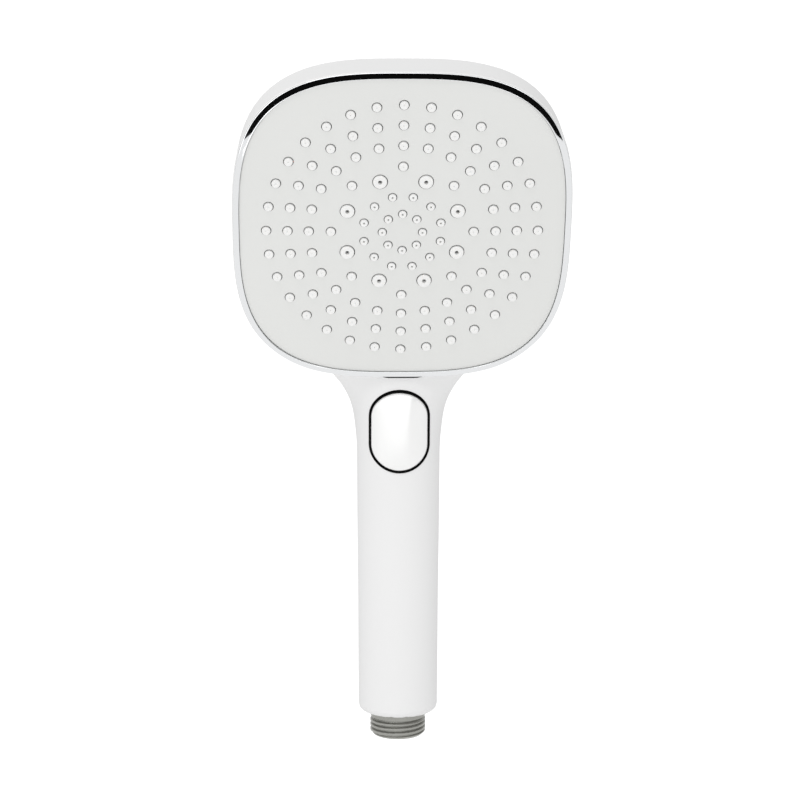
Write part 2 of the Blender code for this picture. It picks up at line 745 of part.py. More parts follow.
def build_valve_body():
    profile = [
        (BARREL_BORE, BARREL_FRONT),
        (BARREL_RADIUS, BARREL_FRONT),
        (BARREL_RADIUS, BARREL_END - 1.5 * MM),
        (BARREL_RADIUS - 1.5 * MM, BARREL_END),
        (0.0, BARREL_END),
    ]
    inside = [(0.0, BARREL_FLOOR), (BARREL_BORE, BARREL_FLOOR)]
    body = turned("valve_body", inside + profile, VALVE, VALVE_GREY, 22)
    ears = rods(
        "body_ears",
        [(side * EAR_AT, 0.0, EAR_RADIUS, BARREL_FRONT, 2.0 * MM, 12) for side in (-1, 1)],
        VALVE,
    )
    ear_bores = rods(
        "body_ear_bores",
        [(side * EAR_AT, 0.0, EAR_BORE, BARREL_FRONT - 2 * MM, 1.0 * MM, 8) for side in (-1, 1)],
        VALVE,
    )
    inlet = rods(
        "inlet_spigot",
        [(0.0, INLET_AT, INLET_RADIUS, BUTTON_Z - INLET_END, BUTTON_Z - 7.2 * MM, 16)],
        HANDLE,
    )
    inlet_bore = rods(
        "inlet_spigot_bore",
        [(0.0, INLET_AT, INLET_BORE, BUTTON_Z - INLET_END - 2 * MM, BUTTON_Z - 2 * MM, 12)],
        HANDLE,
    )
    join(body, ears, inlet)
    cut(body, ear_bores, inlet_bore)
    for angle in OUTLET_ANGLES:
        swing = Matrix.Translation((0, PORT_AT, BUTTON_Z)) @ Matrix.Rotation(
            math.radians(angle), 4, "Y"
        )
        cut(
            body,
            rods(
                f"outlet_at_{int(angle)}",
                [(0.0, 0.0, PORT_RADIUS, 4 * MM, 12 * MM, 10)],
                swing,
            ),
        )


def build_valve_cover():
    cover = turned(
        "valve_cover",
        [(BARREL_RADIUS, COVER_FRONT), (BARREL_RADIUS, COVER_BACK)],
        VALVE,
        VALVE_GREY,
        22,
    )
    ears = rods(
        "cover_ears",
        [(side * EAR_AT, 0.0, EAR_RADIUS, COVER_FRONT, COVER_BACK, 12) for side in (-1, 1)],
        VALVE,
    )
    join(cover, ears)
    stem_hole = rods(
        "stem_hole", [(0.0, 0.0, STEM_RADIUS + GAP, -20 * MM, 20 * MM, 14)], VALVE
    )
    ring_seat = rods("ring_seat", [(0.0, 0.0, RING_SEAT_RADIUS, -20 * MM, RING_SEAT, 16)], VALVE)
    bores, seats = [], []
    for side in (-1, 1):
        bores.append((side * EAR_AT, 0.0, EAR_BORE, -20 * MM, 20 * MM, 8))
        seats.append((side * EAR_AT, 0.0, SCREW_SEAT_RADIUS, -20 * MM, SCREW_SEAT, 12))
    cut(cover, stem_hole, ring_seat, rods("cover_bores", bores, VALVE))
    cut(cover, rods("cover_seats", seats, VALVE))
    for number, side in enumerate((-1, 1), 1):
        build_screw(
            f"valve_screw_{number}",
            VALVE,
            (side * EAR_AT, 0.0),
            SCREW_SEAT - GAP,
            1.2 * MM,
            1.0 * MM,
            0.6 * MM,
            5.0 * MM,
        )
    torus("plunger_o_ring", STEM_RADIUS + GAP + RING_WIRE, RING_WIRE, RING_AT, VALVE, RUBBER)


def build_plunger():
    profile = [
        (0.0, STEM_FRONT),
        (STEM_RADIUS - 0.4 * MM, STEM_FRONT),
        (STEM_RADIUS, STEM_FRONT + 0.4 * MM),
        (STEM_RADIUS, COLLAR_FRONT),
        (COLLAR_RADIUS, COLLAR_FRONT),
        (COLLAR_RADIUS, COLLAR_BACK),
        (TAIL_RADIUS, COLLAR_BACK),
        (TAIL_RADIUS, TAIL_END - 0.4 * MM),
        (TAIL_RADIUS - 0.4 * MM, TAIL_END),
        (0.0, TAIL_END),
    ]
    plunger = turned("plunger", profile, VALVE, STEEL, 12)
    pins = rods("pins", [(0.0, PIN_AT, PIN_RADIUS, -PIN_REACH, PIN_REACH, 8)], VALVE, axis="X")
    join(plunger, pins)


def slot_cutters(index, start_angle):
    """The way of a pin through the turning drum: a straight entry, then a helix."""
    rate = TURN_PER_PRESS / TRAVEL
    mean = (DRUM_RADIUS + DRUM_BORE) / 2
    climb = Vector((-rate * mean, 1.0)).normalized()
    across = Vector((climb.y, -climb.x))
    over = SLOT_HALF_WIDTH * climb.y
    entry = [(start_angle, at, Vector((1.0, 0.0))) for at in (DRUM_FRONT - 2 * MM, PIN_AT + 0.4 * MM)]
    helix = []
    for step in range(SLOT_STEPS + 1):
        along = (TRAVEL + 2 * over) * step / SLOT_STEPS - over
        helix.append((start_angle - rate * along, PIN_AT + along, across))
    made = []
    for kind, path in (("entry", entry), ("helix", helix)):
        rings = []
        for turn, height, side in path:
            ring = []
            for sign, radius in ((-1, 3.4 * MM), (1, 3.4 * MM), (1, 7.5 * MM), (-1, 7.5 * MM)):
                spread = turn + sign * side.x * SLOT_HALF_WIDTH / mean
                rise = sign * side.y * SLOT_HALF_WIDTH
                ring.append((radius * math.sin(spread), -radius * math.cos(spread), height + rise))
            rings.append(ring)
        bm = bmesh.new()
        stack_rings(bm, rings, False)
        made.append(from_bmesh(bm, f"slot_{kind}_{index}", VALVE, None))
    return made


def build_drum():
    profile = [
        (DRUM_BORE, DRUM_FRONT),
        (DRUM_RADIUS, DRUM_FRONT),
        (DRUM_RADIUS, DRUM_BACK),
        (DRUM_BORE, DRUM_BACK),
    ]
    drum = turned("selector_drum", profile, VALVE, DRUM_BLUE, 24, closed=True)
    for index, side in ((1, 90.0), (2, -90.0)):
        cut(drum, *slot_cutters(index, math.radians(side)))
    ports = rods("drum_ports", [(PORT_AT, 0.0, PORT_RADIUS, -9 * MM, 9 * MM, 10)], VALVE, axis="Y")
    cut(drum, ports)


def build_spring():
    """Round wire coil; its path is a curve so that the wire stays even."""
    curve = bpy.data.curves.new("return_spring", "CURVE")
    curve.dimensions = "3D"
    curve.bevel_depth = WIRE_RADIUS
    curve.bevel_resolution = 0
    curve.use_fill_caps = True
    curve.resolution_u = 1
    steps = int(SPRING_TURNS * SPRING_STEPS)
    path = curve.splines.new("POLY")
    path.points.add(steps)
    low, high = SPRING_FRONT + WIRE_RADIUS, SPRING_BACK - WIRE_RADIUS
    for step in range(steps + 1):
        turn = 2 * math.pi * SPRING_TURNS * step / steps
        path.points[step].co = (
            SPRING_RADIUS * math.cos(turn),
            SPRING_RADIUS * math.sin(turn),
            low + (high - low) * step / steps,
            1.0,
        )
    spring = bpy.data.objects.new("return_spring", curve)
    spring.matrix_world = VALVE
    curve.materials.append(STEEL)
    bpy.context.scene.collection.objects.link(spring)
    weld = spring.modifiers.new("weld", "WELD")
    weld.merge_threshold = 0.00001


# ---------------------------------------------------------------- button
def build_bezel():
    lip, rim = BEZEL_LIP, BEZEL_RIM
    bezel = neck_loft("button_bezel", BEZEL_RAISE, *BUTTON_SPAN, skin=CHROME)
    outer = oval_prism("bezel_outer", BEZEL_HALF_WIDTH, BEZEL_HALF_HEIGHT, -30 * MM, -4 * MM)
    combine(bezel, outer, "INTERSECT")
    cut(bezel, neck_loft("under_flange", FLANGE_GAP, *BUTTON_SPAN))
    body = oval_prism(
        "bezel_body", BEZEL_HALF_WIDTH - lip, BEZEL_HALF_HEIGHT - lip, -30 * MM, BEZEL_BACK
    )
    trimmed = neck_loft("bezel_body_trim", BEZEL_RAISE - 0.02, *BUTTON_SPAN)
    combine(body, trimmed, "INTERSECT")
    join(bezel, body)
    cut(
        bezel,
        oval_prism(
            "bezel_window", BEZEL_HALF_WIDTH - rim, BEZEL_HALF_HEIGHT - rim, -40 * MM, 2 * MM
        ),
    )


def build_cap():
    half_width = BEZEL_HALF_WIDTH - BEZEL_RIM - GAP
    half_height = BEZEL_HALF_HEIGHT - BEZEL_RIM - GAP
    cap = oval_prism("button_cap", half_width, half_height, -30 * MM, CAP_BACK, skin=WHITE)
    combine(cap, neck_loft("cap_surface", CAP_RAISE, *BUTTON_SPAN), "INTERSECT")
    inside = oval_prism(
        "cap_inside", half_width - CAP_WALL, half_height - CAP_WALL, -30 * MM, CAP_BACK + 3 * MM
    )
    combine(inside, neck_loft("cap_inside_trim", CAP_RAISE - CAP_CROWN_WALL, *BUTTON_SPAN), "INTERSECT")
    boss = rods("cap_boss", [(0.0, 0.0, CAP_BOSS_RADIUS, CAP_BOSS_FRONT, CAP_BACK - 0.2 * MM, 12)], VALVE)
    socket = rods(
        "cap_socket",
        [(0.0, 0.0, STEM_RADIUS + GAP, STEM_FRONT - GAP, CAP_BACK + 3 * MM, 12)],
        VALVE,
    )
    cut(cap, inside)
    join(cap, boss)
    cut(cap, socket)


# ---------------------------------------------------------------- inlet
def thread_radius(height):
    """Right-hand thread: the radius at this height, as a function of the angle."""

    def radius(turn):
        phase = (height / PITCH - turn / (2 * math.pi)) % 1.0
        ramp = min(1.0, max(0.0, 1.55 - 3.1 * abs(phase - 0.5) * 1.15))
        return THREAD_ROOT + (THREAD_RADIUS - THREAD_ROOT) * ramp

    return radius


def build_connector():
    rows = round((THREAD_END - THREAD_START) / PITCH * THREAD_ROWS_PER_PITCH)
    heights = [THREAD_START + (THREAD_END - THREAD_START) * k / rows for k in range(rows + 1)]
    outside = [(INLET_WAY, 0.0), (THREAD_ROOT - 0.1 * MM, 0.0)]
    outside += [(thread_radius(height), height) for height in heights]
    outside += [
        (THREAD_RADIUS - 0.1 * MM, THREAD_END + 0.5 * MM),
        (THREAD_RADIUS - 0.1 * MM, SHELL_BOTTOM + 0.3 * MM),
        (PLUG_RADIUS, SHELL_BOTTOM + 0.3 * MM),
        (PLUG_RADIUS, SEAL_GROOVE[0]),
        (SEAL_RADIUS, SEAL_GROOVE[0]),
        (SEAL_RADIUS, SEAL_GROOVE[1]),
        (PLUG_RADIUS, SEAL_GROOVE[1]),
        (PLUG_RADIUS, PLUG_TOP),
    ]
    inside = [
        (SEAT_RADIUS, PLUG_TOP),
        (SEAT_RADIUS, SEAT_FLOOR),
        (TUBE_RADIUS + GAP, SEAT_FLOOR),
        (TUBE_RADIUS + GAP, TUBE_BOTTOM - GAP),
        (TUBE_BORE, TUBE_BOTTOM - GAP),
        (TUBE_BORE, FILTER_STEP),
        (INLET_WAY, FILTER_STEP),
    ]
    turned("inlet_connector", outside + inside, HANDLE, GREY, THREAD_SEGMENTS, closed=True)
    torus("connector_o_ring", 11.15 * MM, 0.65 * MM, 17.8 * MM, HANDLE, RUBBER, segments=24)
    torus("tube_o_ring", TUBE_RADIUS + GAP + 0.85 * MM, 0.85 * MM, 24.9 * MM, HANDLE, RUBBER)


def build_tube():
    """Straight tube that leans back a little towards the valve's inlet."""
    rings = []
    for radius, backwards in ((TUBE_RADIUS, False), (TUBE_BORE, True)):
        path = [(0.0, TUBE_BOTTOM), (0.0, LEAN_FROM), (INLET_AT, LEAN_TO), (INLET_AT, TUBE_TOP)]
        rings += [
            circle(radius, z, ROUND_SEGMENTS, (0.0, y)) for y, z in (path[::-1] if backwards else path)
        ]
    bm = bmesh.new()
    stack_rings(bm, rings, True)
    from_bmesh(bm, "water_tube", HANDLE, TUBE_WHITE)


def build_inlet_inserts():
    restrictor = [
        (RESTRICTOR_BORE, RESTRICTOR_SPAN[0]),
        (INSERT_RADIUS, RESTRICTOR_SPAN[0]),
        (INSERT_RADIUS, RESTRICTOR_SPAN[1]),
        (TUBE_BORE + 0.4 * MM, RESTRICTOR_SPAN[1]),
        (TUBE_BORE + 0.4 * MM, RESTRICTOR_STEP),
        (RESTRICTOR_BORE, RESTRICTOR_STEP),
    ]
    turned("flow_restrictor", restrictor, HANDLE, FILTER_GREEN, closed=True)
    strainer = turned("inlet_filter", [(INSERT_RADIUS, height) for height in FILTER_SPAN], HANDLE, STEEL)
    spots = [(0.0, 0.0)]
    spots += [(FILTER_CIRCLE * math.cos(turn), FILTER_CIRCLE * math.sin(turn)) for turn in angles(8)]
    holes = [(*spot, FILTER_HOLE, 4 * MM, 9 * MM, 6) for spot in spots]
    cut(strainer, rods("filter_holes", holes, HANDLE))


def main():
    build_shell()
    build_trim_ring()
    build_face_plate()
    build_mat("outer_nozzle_mat", "outer", *ZONE_RADII["outer"])
    build_mat("massage_nozzle_ring", "massage", *ZONE_RADII["massage"])
    build_mat("inner_nozzle_mat", "inner", 0.0, INNER_MAT_RADIUS)
    build_chamber_plate()
    build_gasket()
    build_back_plate()
    build_engine_screws()
    build_spigot_rings()
    build_manifold()
    build_valve_body()
    build_valve_cover()
    build_plunger()
    build_drum()
    build_spring()
    build_bezel()
    build_cap()
    build_connector()
    build_tube()
    build_inlet_inserts()


clear_scene()
main()
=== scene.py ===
"""Looks of the handheld shower head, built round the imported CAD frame. Metres, +Z up."""

import json
import math

import bmesh
import bpy
import numpy as np
from mathutils import Matrix, Vector


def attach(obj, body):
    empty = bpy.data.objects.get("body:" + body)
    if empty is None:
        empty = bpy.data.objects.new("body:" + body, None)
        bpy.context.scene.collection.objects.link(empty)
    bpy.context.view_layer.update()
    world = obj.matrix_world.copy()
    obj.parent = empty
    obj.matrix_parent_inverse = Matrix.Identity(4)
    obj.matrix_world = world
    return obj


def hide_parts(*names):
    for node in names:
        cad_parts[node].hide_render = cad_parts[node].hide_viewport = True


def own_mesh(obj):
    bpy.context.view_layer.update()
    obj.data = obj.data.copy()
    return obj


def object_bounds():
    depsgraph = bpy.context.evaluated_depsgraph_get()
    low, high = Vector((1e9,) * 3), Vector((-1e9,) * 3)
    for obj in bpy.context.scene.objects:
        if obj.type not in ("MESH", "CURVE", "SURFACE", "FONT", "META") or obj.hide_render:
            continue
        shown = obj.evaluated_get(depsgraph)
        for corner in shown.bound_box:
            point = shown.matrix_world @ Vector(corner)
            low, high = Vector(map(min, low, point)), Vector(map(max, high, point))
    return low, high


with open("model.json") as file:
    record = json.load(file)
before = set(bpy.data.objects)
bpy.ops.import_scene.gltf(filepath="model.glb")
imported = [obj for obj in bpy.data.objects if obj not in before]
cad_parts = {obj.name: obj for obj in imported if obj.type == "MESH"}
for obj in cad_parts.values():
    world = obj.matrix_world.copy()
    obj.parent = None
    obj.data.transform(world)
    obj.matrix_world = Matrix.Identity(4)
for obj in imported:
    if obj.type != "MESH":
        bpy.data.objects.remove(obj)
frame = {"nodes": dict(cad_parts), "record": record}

CAD_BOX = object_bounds()
MM = 0.001

# Head frame: u to the right, v up the face, w out of the face
TILT = math.radians(22.0)
HEAD_CENTRE = np.array((0.0, -39.5, 194.75))
HEAD_AXES = np.array(
    (
        (1.0, 0.0, 0.0),
        (0.0, -math.sin(TILT), math.cos(TILT)),
        (0.0, -math.cos(TILT), -math.sin(TILT)),
    )
)
SQUIRCLE = 3.05
HEAD_HALF, SIDE_DEPTH, DOME_DEPTH = 60.0, 13.8, 12.2
LID_HALF = 60.06
RIM_TOP = -1.3  # front edge of the shell, below the face
WALL = 2.4
INNER_HALF = 58.9  # opening that the face plate and ring sit in
BUTTON_Z = 119.0
BEZEL_W, BEZEL_H = 11.35, 15.6  # half sizes of the button's surround
CAP_INSET, CAP_WALL = 0.94, 1.9
OVERHANG = 3.0  # of the head's form past its rim, cut away later
TAPER, TAPER_FROM, TAPER_OVER = 0.55, 2.0, 11.0  # of the head's side towards the back


# ---------------------------------------------------------------- mesh helpers (millimetres)
def to_world(points):
    """Points of the head frame in row coordinates."""
    return HEAD_CENTRE + np.asarray(points, float) @ HEAD_AXES


def to_head(points):
    return (np.asarray(points, float) - HEAD_CENTRE) @ HEAD_AXES.T


def mesh_object(name, points, faces, material=None, smooth=40.0):
    mesh = bpy.data.meshes.new(name)
    mesh.from_pydata([tuple(p) for p in np.asarray(points, float) * MM], [], faces)
    bm = bmesh.new()
    bm.from_mesh(mesh)
    bmesh.ops.recalc_face_normals(bm, faces=bm.faces)
    bm.to_mesh(mesh)
    bm.free()
    obj = bpy.data.objects.new(name, mesh)
    bpy.context.scene.collection.objects.link(obj)
    if material:
        mesh.materials.append(material)
    if smooth:
        mesh.shade_smooth()
        mesh.set_sharp_from_angle(angle=math.radians(smooth))
    return obj


def stack(rings, closed=False, start=0):
    """Points and faces of a stack of rings; rings of one point are poles."""
    points, faces, offsets = [], [], []
    for ring in rings:
        offsets.append(len(points) + start)
        points.extend(ring)
    pairs = list(zip(range(len(rings)), range(1, len(rings))))
    if closed:
        pairs.append((len(rings) - 1, 0))
    for low, high in pairs:
        n_low, n_high = len(rings[low]), len(rings[high])
        for i in range(max(n_low, n_high)):
            j = (i + 1) % max(n_low, n_high)
            a, b = offsets[low], offsets[high]
            if n_low == 1:
                faces.append((a, b + j, b + i))
            elif n_high == 1:
                faces.append((a + i, a + j, b))
            else:
                faces.append((a + i, a + j, b + j, b + i))
    if not closed:
        for k in (0, len(rings) - 1):
            if len(rings[k]) > 2:
                faces.append(tuple(range(offsets[k], offsets[k] + len(rings[k]))))
    return points, faces


def circle(radius, height, count, centre=(0.0, 0.0)):
    if radius == 0:
        return [(centre[0], centre[1], height)]
    turn = np.arange(count) * 2 * math.pi / count
    return np.stack(
        (centre[0] + radius * np.cos(turn), centre[1] + radius * np.sin(turn), turn * 0 + height), 1
    ).tolist()


def squircle(half, height, exponent=SQUIRCLE, count=256):
    """Ring of the head's rounded-square outline."""
    if half == 0:
        return [(0.0, 0.0, height)]
    turn = np.arange(count) * 2 * math.pi / count
    size = half / squircle_norm(np.cos(turn), np.sin(turn), exponent)
    return np.stack((size * np.cos(turn), size * np.sin(turn), turn * 0 + height), 1).tolist()


def squircle_norm(u, v, exponent):
    return (np.abs(u) ** exponent + np.abs(v) ** exponent) ** (1 / exponent)


def modify(obj, operation, other, solver="MANIFOLD"):
    """Applies a Boolean and removes the other object."""
    modifier = obj.modifiers.new("cut", "BOOLEAN")
    modifier.operation, modifier.solver, modifier.object = operation, solver, other
    modifier.material_mode = "TRANSFER"
    bake(obj)
    bpy.data.objects.remove(other, do_unlink=True)


def bake(obj):
    graph = bpy.context.evaluated_depsgraph_get()
    mesh = bpy.data.meshes.new_from_object(obj.evaluated_get(graph))
    obj.modifiers.clear()
    obj.data = mesh


def coordinates(mesh):
    values = np.empty(len(mesh.vertices) * 3, np.float32)
    mesh.vertices.foreach_get("co", values)
    return values.reshape(-1, 3).astype(float) / MM


def set_coordinates(mesh, points):
    mesh.vertices.foreach_set("co", (points * MM).astype(np.float32).ravel())
    mesh.update()


def spline(knots, values):
    """Natural cubic spline through the points."""
    x, y = np.asarray(knots, float), np.asarray(values, float)
    n, h = len(x), np.diff(x)
    matrix, right = np.eye(n), np.zeros(n)
    for i in range(1, n - 1):
        matrix[i, i - 1 : i + 2] = h[i - 1], 2 * (h[i - 1] + h[i]), h[i]
        right[i] = 6 * ((y[i + 1] - y[i]) / h[i] - (y[i] - y[i - 1]) / h[i - 1])
    bend = np.linalg.solve(matrix, right)

    def at(t):
        t = np.clip(t, x[0], x[-1])
        i = np.clip(np.searchsorted(x, t) - 1, 0, n - 2)
        step, low, high = h[i], t - x[i], x[i + 1] - t
        return (
            (bend[i] * high**3 + bend[i + 1] * low**3) / (6 * step)
            + (y[i] / step - bend[i] * step / 6) * high
            + (y[i + 1] / step - bend[i + 1] * step / 6) * low
        )

    return at


# ---------------------------------------------------------------- shape of the shell
half_width = spline(
    (0, 14, 30, 53, 75, 98, 106, 113, 119, 124, 128.5, 133, 137.6, 142.5, 148, 154, 160, 170, 178, 186),
    (
        14.9, 14.9, 15.0, 15.08, 15.3, 15.45, 15.5, 15.65, 16.2, 16.9,
        18.1, 20.3, 23.4, 26.9, 30, 32.2, 33.2, 33, 30, 24,
    ),
)
front_line = spline(
    (0, 14, 53, 98, 113, 124, 130, 136, 142, 150, 160, 170, 186),
    (-14.7, -14.7, -14.9, -15.4, -15.6, -15.7, -15.72, -15.6, -15.6, -17.2, -21.0, -27.5, -37.0),
)
back_line = spline(
    (0, 14, 53, 98, 113, 124, 133, 140, 147, 154, 160, 166, 173, 186),
    (14.7, 14.7, 14.9, 15.4, 15.6, 15.8, 15.5, 14.6, 12.8, 9.6, 5.6, 0.4, -7.6, -25.0),
)
FOOT, FOOT_ROUND = 9.7, 2.3
VOXEL = 0.00115  # metres
NECK_REACH = (4.0, 184.0)  # heights where the handle's form ends, inside the head


def neck_section(z):
    """Half width, centre and half depth of the handle and neck at this height."""
    front, back = front_line(z), back_line(z)
    low = np.clip(FOOT + FOOT_ROUND - z, 0, FOOT_ROUND)
    inset = FOOT_ROUND - np.sqrt(FOOT_ROUND**2 - low**2)
    return half_width(z) - inset, (front + back) / 2, (back - front) / 2 - inset


def handle_level(points):
    x, y, z = points.T
    a, c, b = neck_section(z)
    q = np.sqrt((x / a) ** 2 + ((y - c) / b) ** 2) + 1e-9
    slope = np.sqrt((x / a**2) ** 2 + ((y - c) / b**2) ** 2) / q + 1e-9
    return np.maximum(np.maximum((q - 1) / slope, NECK_REACH[0] - z), z - NECK_REACH[1])


def head_level(points):
    u, v, w = to_head(points).T
    s = np.clip((-w - SIDE_DEPTH) / DOME_DEPTH, 0, None)
    exponent = SQUIRCLE - (SQUIRCLE - 2) * (np.arcsin(np.clip(s, 0, 1)) / (math.pi / 2)) ** 2
    half = HEAD_HALF - TAPER * np.clip((-w - TAPER_FROM) / TAPER_OVER, 0, 1)
    rho = squircle_norm(u, v, exponent) / half
    q = np.sqrt(rho**2 + s**2) + 1e-9
    slope = np.sqrt((rho / HEAD_HALF) ** 2 + (s / DOME_DEPTH) ** 2) / q + 1e-9
    return np.maximum((q - 1) / slope, w - OVERHANG)


def shell_level(points):
    """Distance-like level of the outside of the shell: zero on it, the two forms blended."""
    head, handle = head_level(points), handle_level(points)
    w = to_head(points)[:, 2]
    # The blend is tighter at the front of the neck
    near_axis = np.clip((24.0 - np.abs(points[:, 0])) / 12.0, 0, 1)
    front = np.clip((-points[:, 1] - 5.0) / 6.0, 0, 1) * near_axis
    k = (2.0 + 10.0 * np.clip((-w - 4.0) / 9.0, 0, 1)) * (1 - 0.88 * front)
    mix = np.clip(0.5 + 0.5 * (handle - head) / k, 0, 1)
    return handle * (1 - mix) + head * mix - k * mix * (1 - mix)


def slope_of(level, points, step=0.02):
    return np.stack(
        [(level(points + d) - level(points - d)) / (2 * step) for d in np.eye(3) * step], 1
    )


def shell_front(x, z):
    """Y of the front of the neck at this x and z."""
    a, c, b = neck_section(np.asarray(z, float))
    return c - b * np.sqrt(np.clip(1 - (np.asarray(x, float) / a) ** 2, 0, 1))


# ---------------------------------------------------------------- materials
def nodes_of(material):
    tree = material.node_tree
    return tree, tree.nodes["Principled BSDF"]


def surface(
    name,
    colour,
    roughness,
    metallic=0.0,
    spread=0.05,
    tint=0.015,
    bump=0.03,
    grain=900.0,
    coat=0.0,
    subsurface=0.0,
    brushed=None,
    specular=0.5,
):
    """Procedural surface: drifting tone, uneven polish and fine grain."""
    made = bpy.data.materials.new(name)
    made.use_nodes = True
    tree, shader = nodes_of(made)
    add, link = tree.nodes.new, tree.links.new
    place = add("ShaderNodeTexCoord")
    shader.inputs["Metallic"].default_value = metallic
    shader.inputs["Specular IOR Level"].default_value = specular
    if coat:
        shader.inputs["Coat Weight"].default_value = coat
        shader.inputs["Coat Roughness"].default_value = 0.12
    if subsurface:
        shader.inputs["Subsurface Weight"].default_value = subsurface
        shader.inputs["Subsurface Radius"].default_value = (1.0, 0.9, 0.8)
        shader.inputs["Subsurface Scale"].default_value = 0.0012

    drift = add("ShaderNodeTexNoise")
    drift.inputs["Scale"].default_value = 22.0
    drift.inputs["Detail"].default_value = 3.0
    link(place.outputs["Object"], drift.inputs["Vector"])
    tone = add("ShaderNodeValToRGB")
    tone.color_ramp.elements[0].position, tone.color_ramp.elements[1].position = 0.3, 0.7
    tone.color_ramp.elements[0].color = (*[c * (1 - tint) for c in colour], 1)
    tone.color_ramp.elements[1].color = (*[min(1.0, c * (1 + tint)) for c in colour], 1)
    link(drift.outputs["Fac"], tone.inputs["Fac"])
    link(tone.outputs["Color"], shader.inputs["Base Color"])

    polish = add("ShaderNodeTexNoise")
    polish.inputs["Scale"].default_value = 85.0
    polish.inputs["Detail"].default_value = 5.0
    polish.inputs["Roughness"].default_value = 0.6
    source = place.outputs["Object"]
    if brushed:
        squeeze = add("ShaderNodeMapping")
        squeeze.inputs["Scale"].default_value = brushed
        link(source, squeeze.inputs["Vector"])
        source = squeeze.outputs["Vector"]
    link(source, polish.inputs["Vector"])
    band = add("ShaderNodeMapRange")
    band.inputs["From Min"].default_value, band.inputs["From Max"].default_value = 0.3, 0.7
    band.inputs["To Min"].default_value = max(0.02, roughness - spread)
    band.inputs["To Max"].default_value = roughness + spread
    link(polish.outputs["Fac"], band.inputs["Value"])
    link(band.outputs["Result"], shader.inputs["Roughness"])

    fine = add("ShaderNodeTexNoise")
    fine.inputs["Scale"].default_value = grain
    fine.inputs["Detail"].default_value = 2.0
    link(source, fine.inputs["Vector"])
    relief = add("ShaderNodeBump")
    relief.inputs["Strength"].default_value = bump
    relief.inputs["Distance"].default_value = 0.0002
    link(fine.outputs["Fac"], relief.inputs["Height"])
    link(relief.outputs["Normal"], shader.inputs["Normal"])
    return made


WHITE = surface(
    "gloss_white_abs", (0.725, 0.725, 0.72), 0.26, spread=0.04, tint=0.006, bump=0.01, grain=260.0,
    coat=0.25, specular=0.36,
)
# Lighter copy of the white ABS for the button cap: the lighter base colour is painted light; the
# stronger gloss and coat are the cap's own
WHITE_PAINTED_LIT = surface(
    "white_abs_painted_lit", (0.845, 0.845, 0.84), 0.16, spread=0.04, tint=0.005, bump=0.01, grain=260.0,
    coat=1.0, specular=1.0,
)
# Chrome with a near-black colour: a painted dark reflection for the button's surround
CHROME_PAINTED_DARK = surface(
    "chrome_painted_dark_reflection", (0.004, 0.004, 0.0042), 0.06, 1.0,
    spread=0.02, tint=0.02, bump=0.0, grain=500.0,
)
CHROME = surface(
    "polished_trim", (0.86, 0.87, 0.88), 0.05, 1.0,
    spread=0.02, tint=0.01, bump=0.0, grain=500.0,
)
FACE = surface(
    "satin_grey_face", (0.725, 0.73, 0.715), 0.34,
    spread=0.05, tint=0.008, bump=0.05, grain=1500.0,
)
# Near black, painted shade: on the nozzle hole walls, in the slit between ring and neck and down the
# massage bores
SHADED = surface(
    "painted_shade_near_black", (0.10, 0.10, 0.10), 0.6,
    spread=0.06, tint=0.05, bump=0.05, grain=1500.0,
)
SILICONE = surface(
    "soft_white_silicone", (0.83, 0.83, 0.82), 0.5, spread=0.07, tint=0.01, bump=0.06, grain=2200.0,
    subsurface=0.05,
)
CONNECTOR = surface(
    "grey_inlet", (0.355, 0.355, 0.33), 0.3, 0.6, spread=0.08, tint=0.05, bump=0.08, grain=1400.0
)
POM = surface(
    "pale_grey_pom", (0.56, 0.58, 0.60), 0.45,
    spread=0.07, tint=0.03, bump=0.08, grain=1300.0,
)
DARK_POM = surface(
    "dark_grey_pom", (0.12, 0.13, 0.145), 0.42,
    spread=0.07, tint=0.06, bump=0.08, grain=1300.0,
)
BLUE_POM = surface(
    "blue_pom", (0.05, 0.13, 0.30), 0.38,
    spread=0.06, tint=0.05, bump=0.06, grain=1300.0,
)
GREEN_POM = surface(
    "green_pom", (0.07, 0.24, 0.13), 0.42,
    spread=0.07, tint=0.05, bump=0.06, grain=1300.0,
)
TUBE = surface(
    "milky_tube", (0.70, 0.73, 0.75), 0.33, spread=0.06, tint=0.03, bump=0.05, grain=700.0,
    subsurface=0.3, brushed=(1.0, 1.0, 0.06),
)
RUBBER = surface(
    "black_seal_rubber", (0.018, 0.018, 0.019), 0.68,
    spread=0.1, tint=0.2, bump=0.2, grain=2600.0,
)
STEEL = surface(
    "turned_steel", (0.58, 0.57, 0.55), 0.26, 1.0, spread=0.09, tint=0.04, bump=0.12, grain=1800.0,
    brushed=(1.0, 8.0, 1.0),
)
BY_SLOT = {
    "engine_pom": POM,
    "black_rubber": RUBBER,
    "stainless_steel": STEEL,
    "valve_pom": DARK_POM,
    "drum_pom": BLUE_POM,
    "tube_pe": TUBE,
    "restrictor_pom": GREEN_POM,
    "white_gloss_abs": WHITE,
    "polished_chrome": CHROME,
    "face_grey_abs": FACE,
    "white_silicone": SILICONE,
    "grey_connector": CONNECTOR,
}


def take_place(obj, node, body):
    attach(obj, body)
    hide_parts(node)


# ---------------------------------------------------------------- shell
def dome_rings(half, depth, steps, count):
    rings = []
    for step in range(steps):
        t = math.pi / 2 * step / steps
        exponent = SQUIRCLE + (2.0 - SQUIRCLE) * (step / steps) ** 2
        rings.append(squircle(half * math.cos(t), -SIDE_DEPTH - depth * math.sin(t), exponent, count))
    return rings + [[(0.0, 0.0, -SIDE_DEPTH - depth)]]


def head_form(name, rings, closed=False, material=None):
    """Flat-shaded form from rings in the head frame."""
    points, faces = stack(rings, closed)
    return mesh_object(name, to_world(points), faces, material, None)


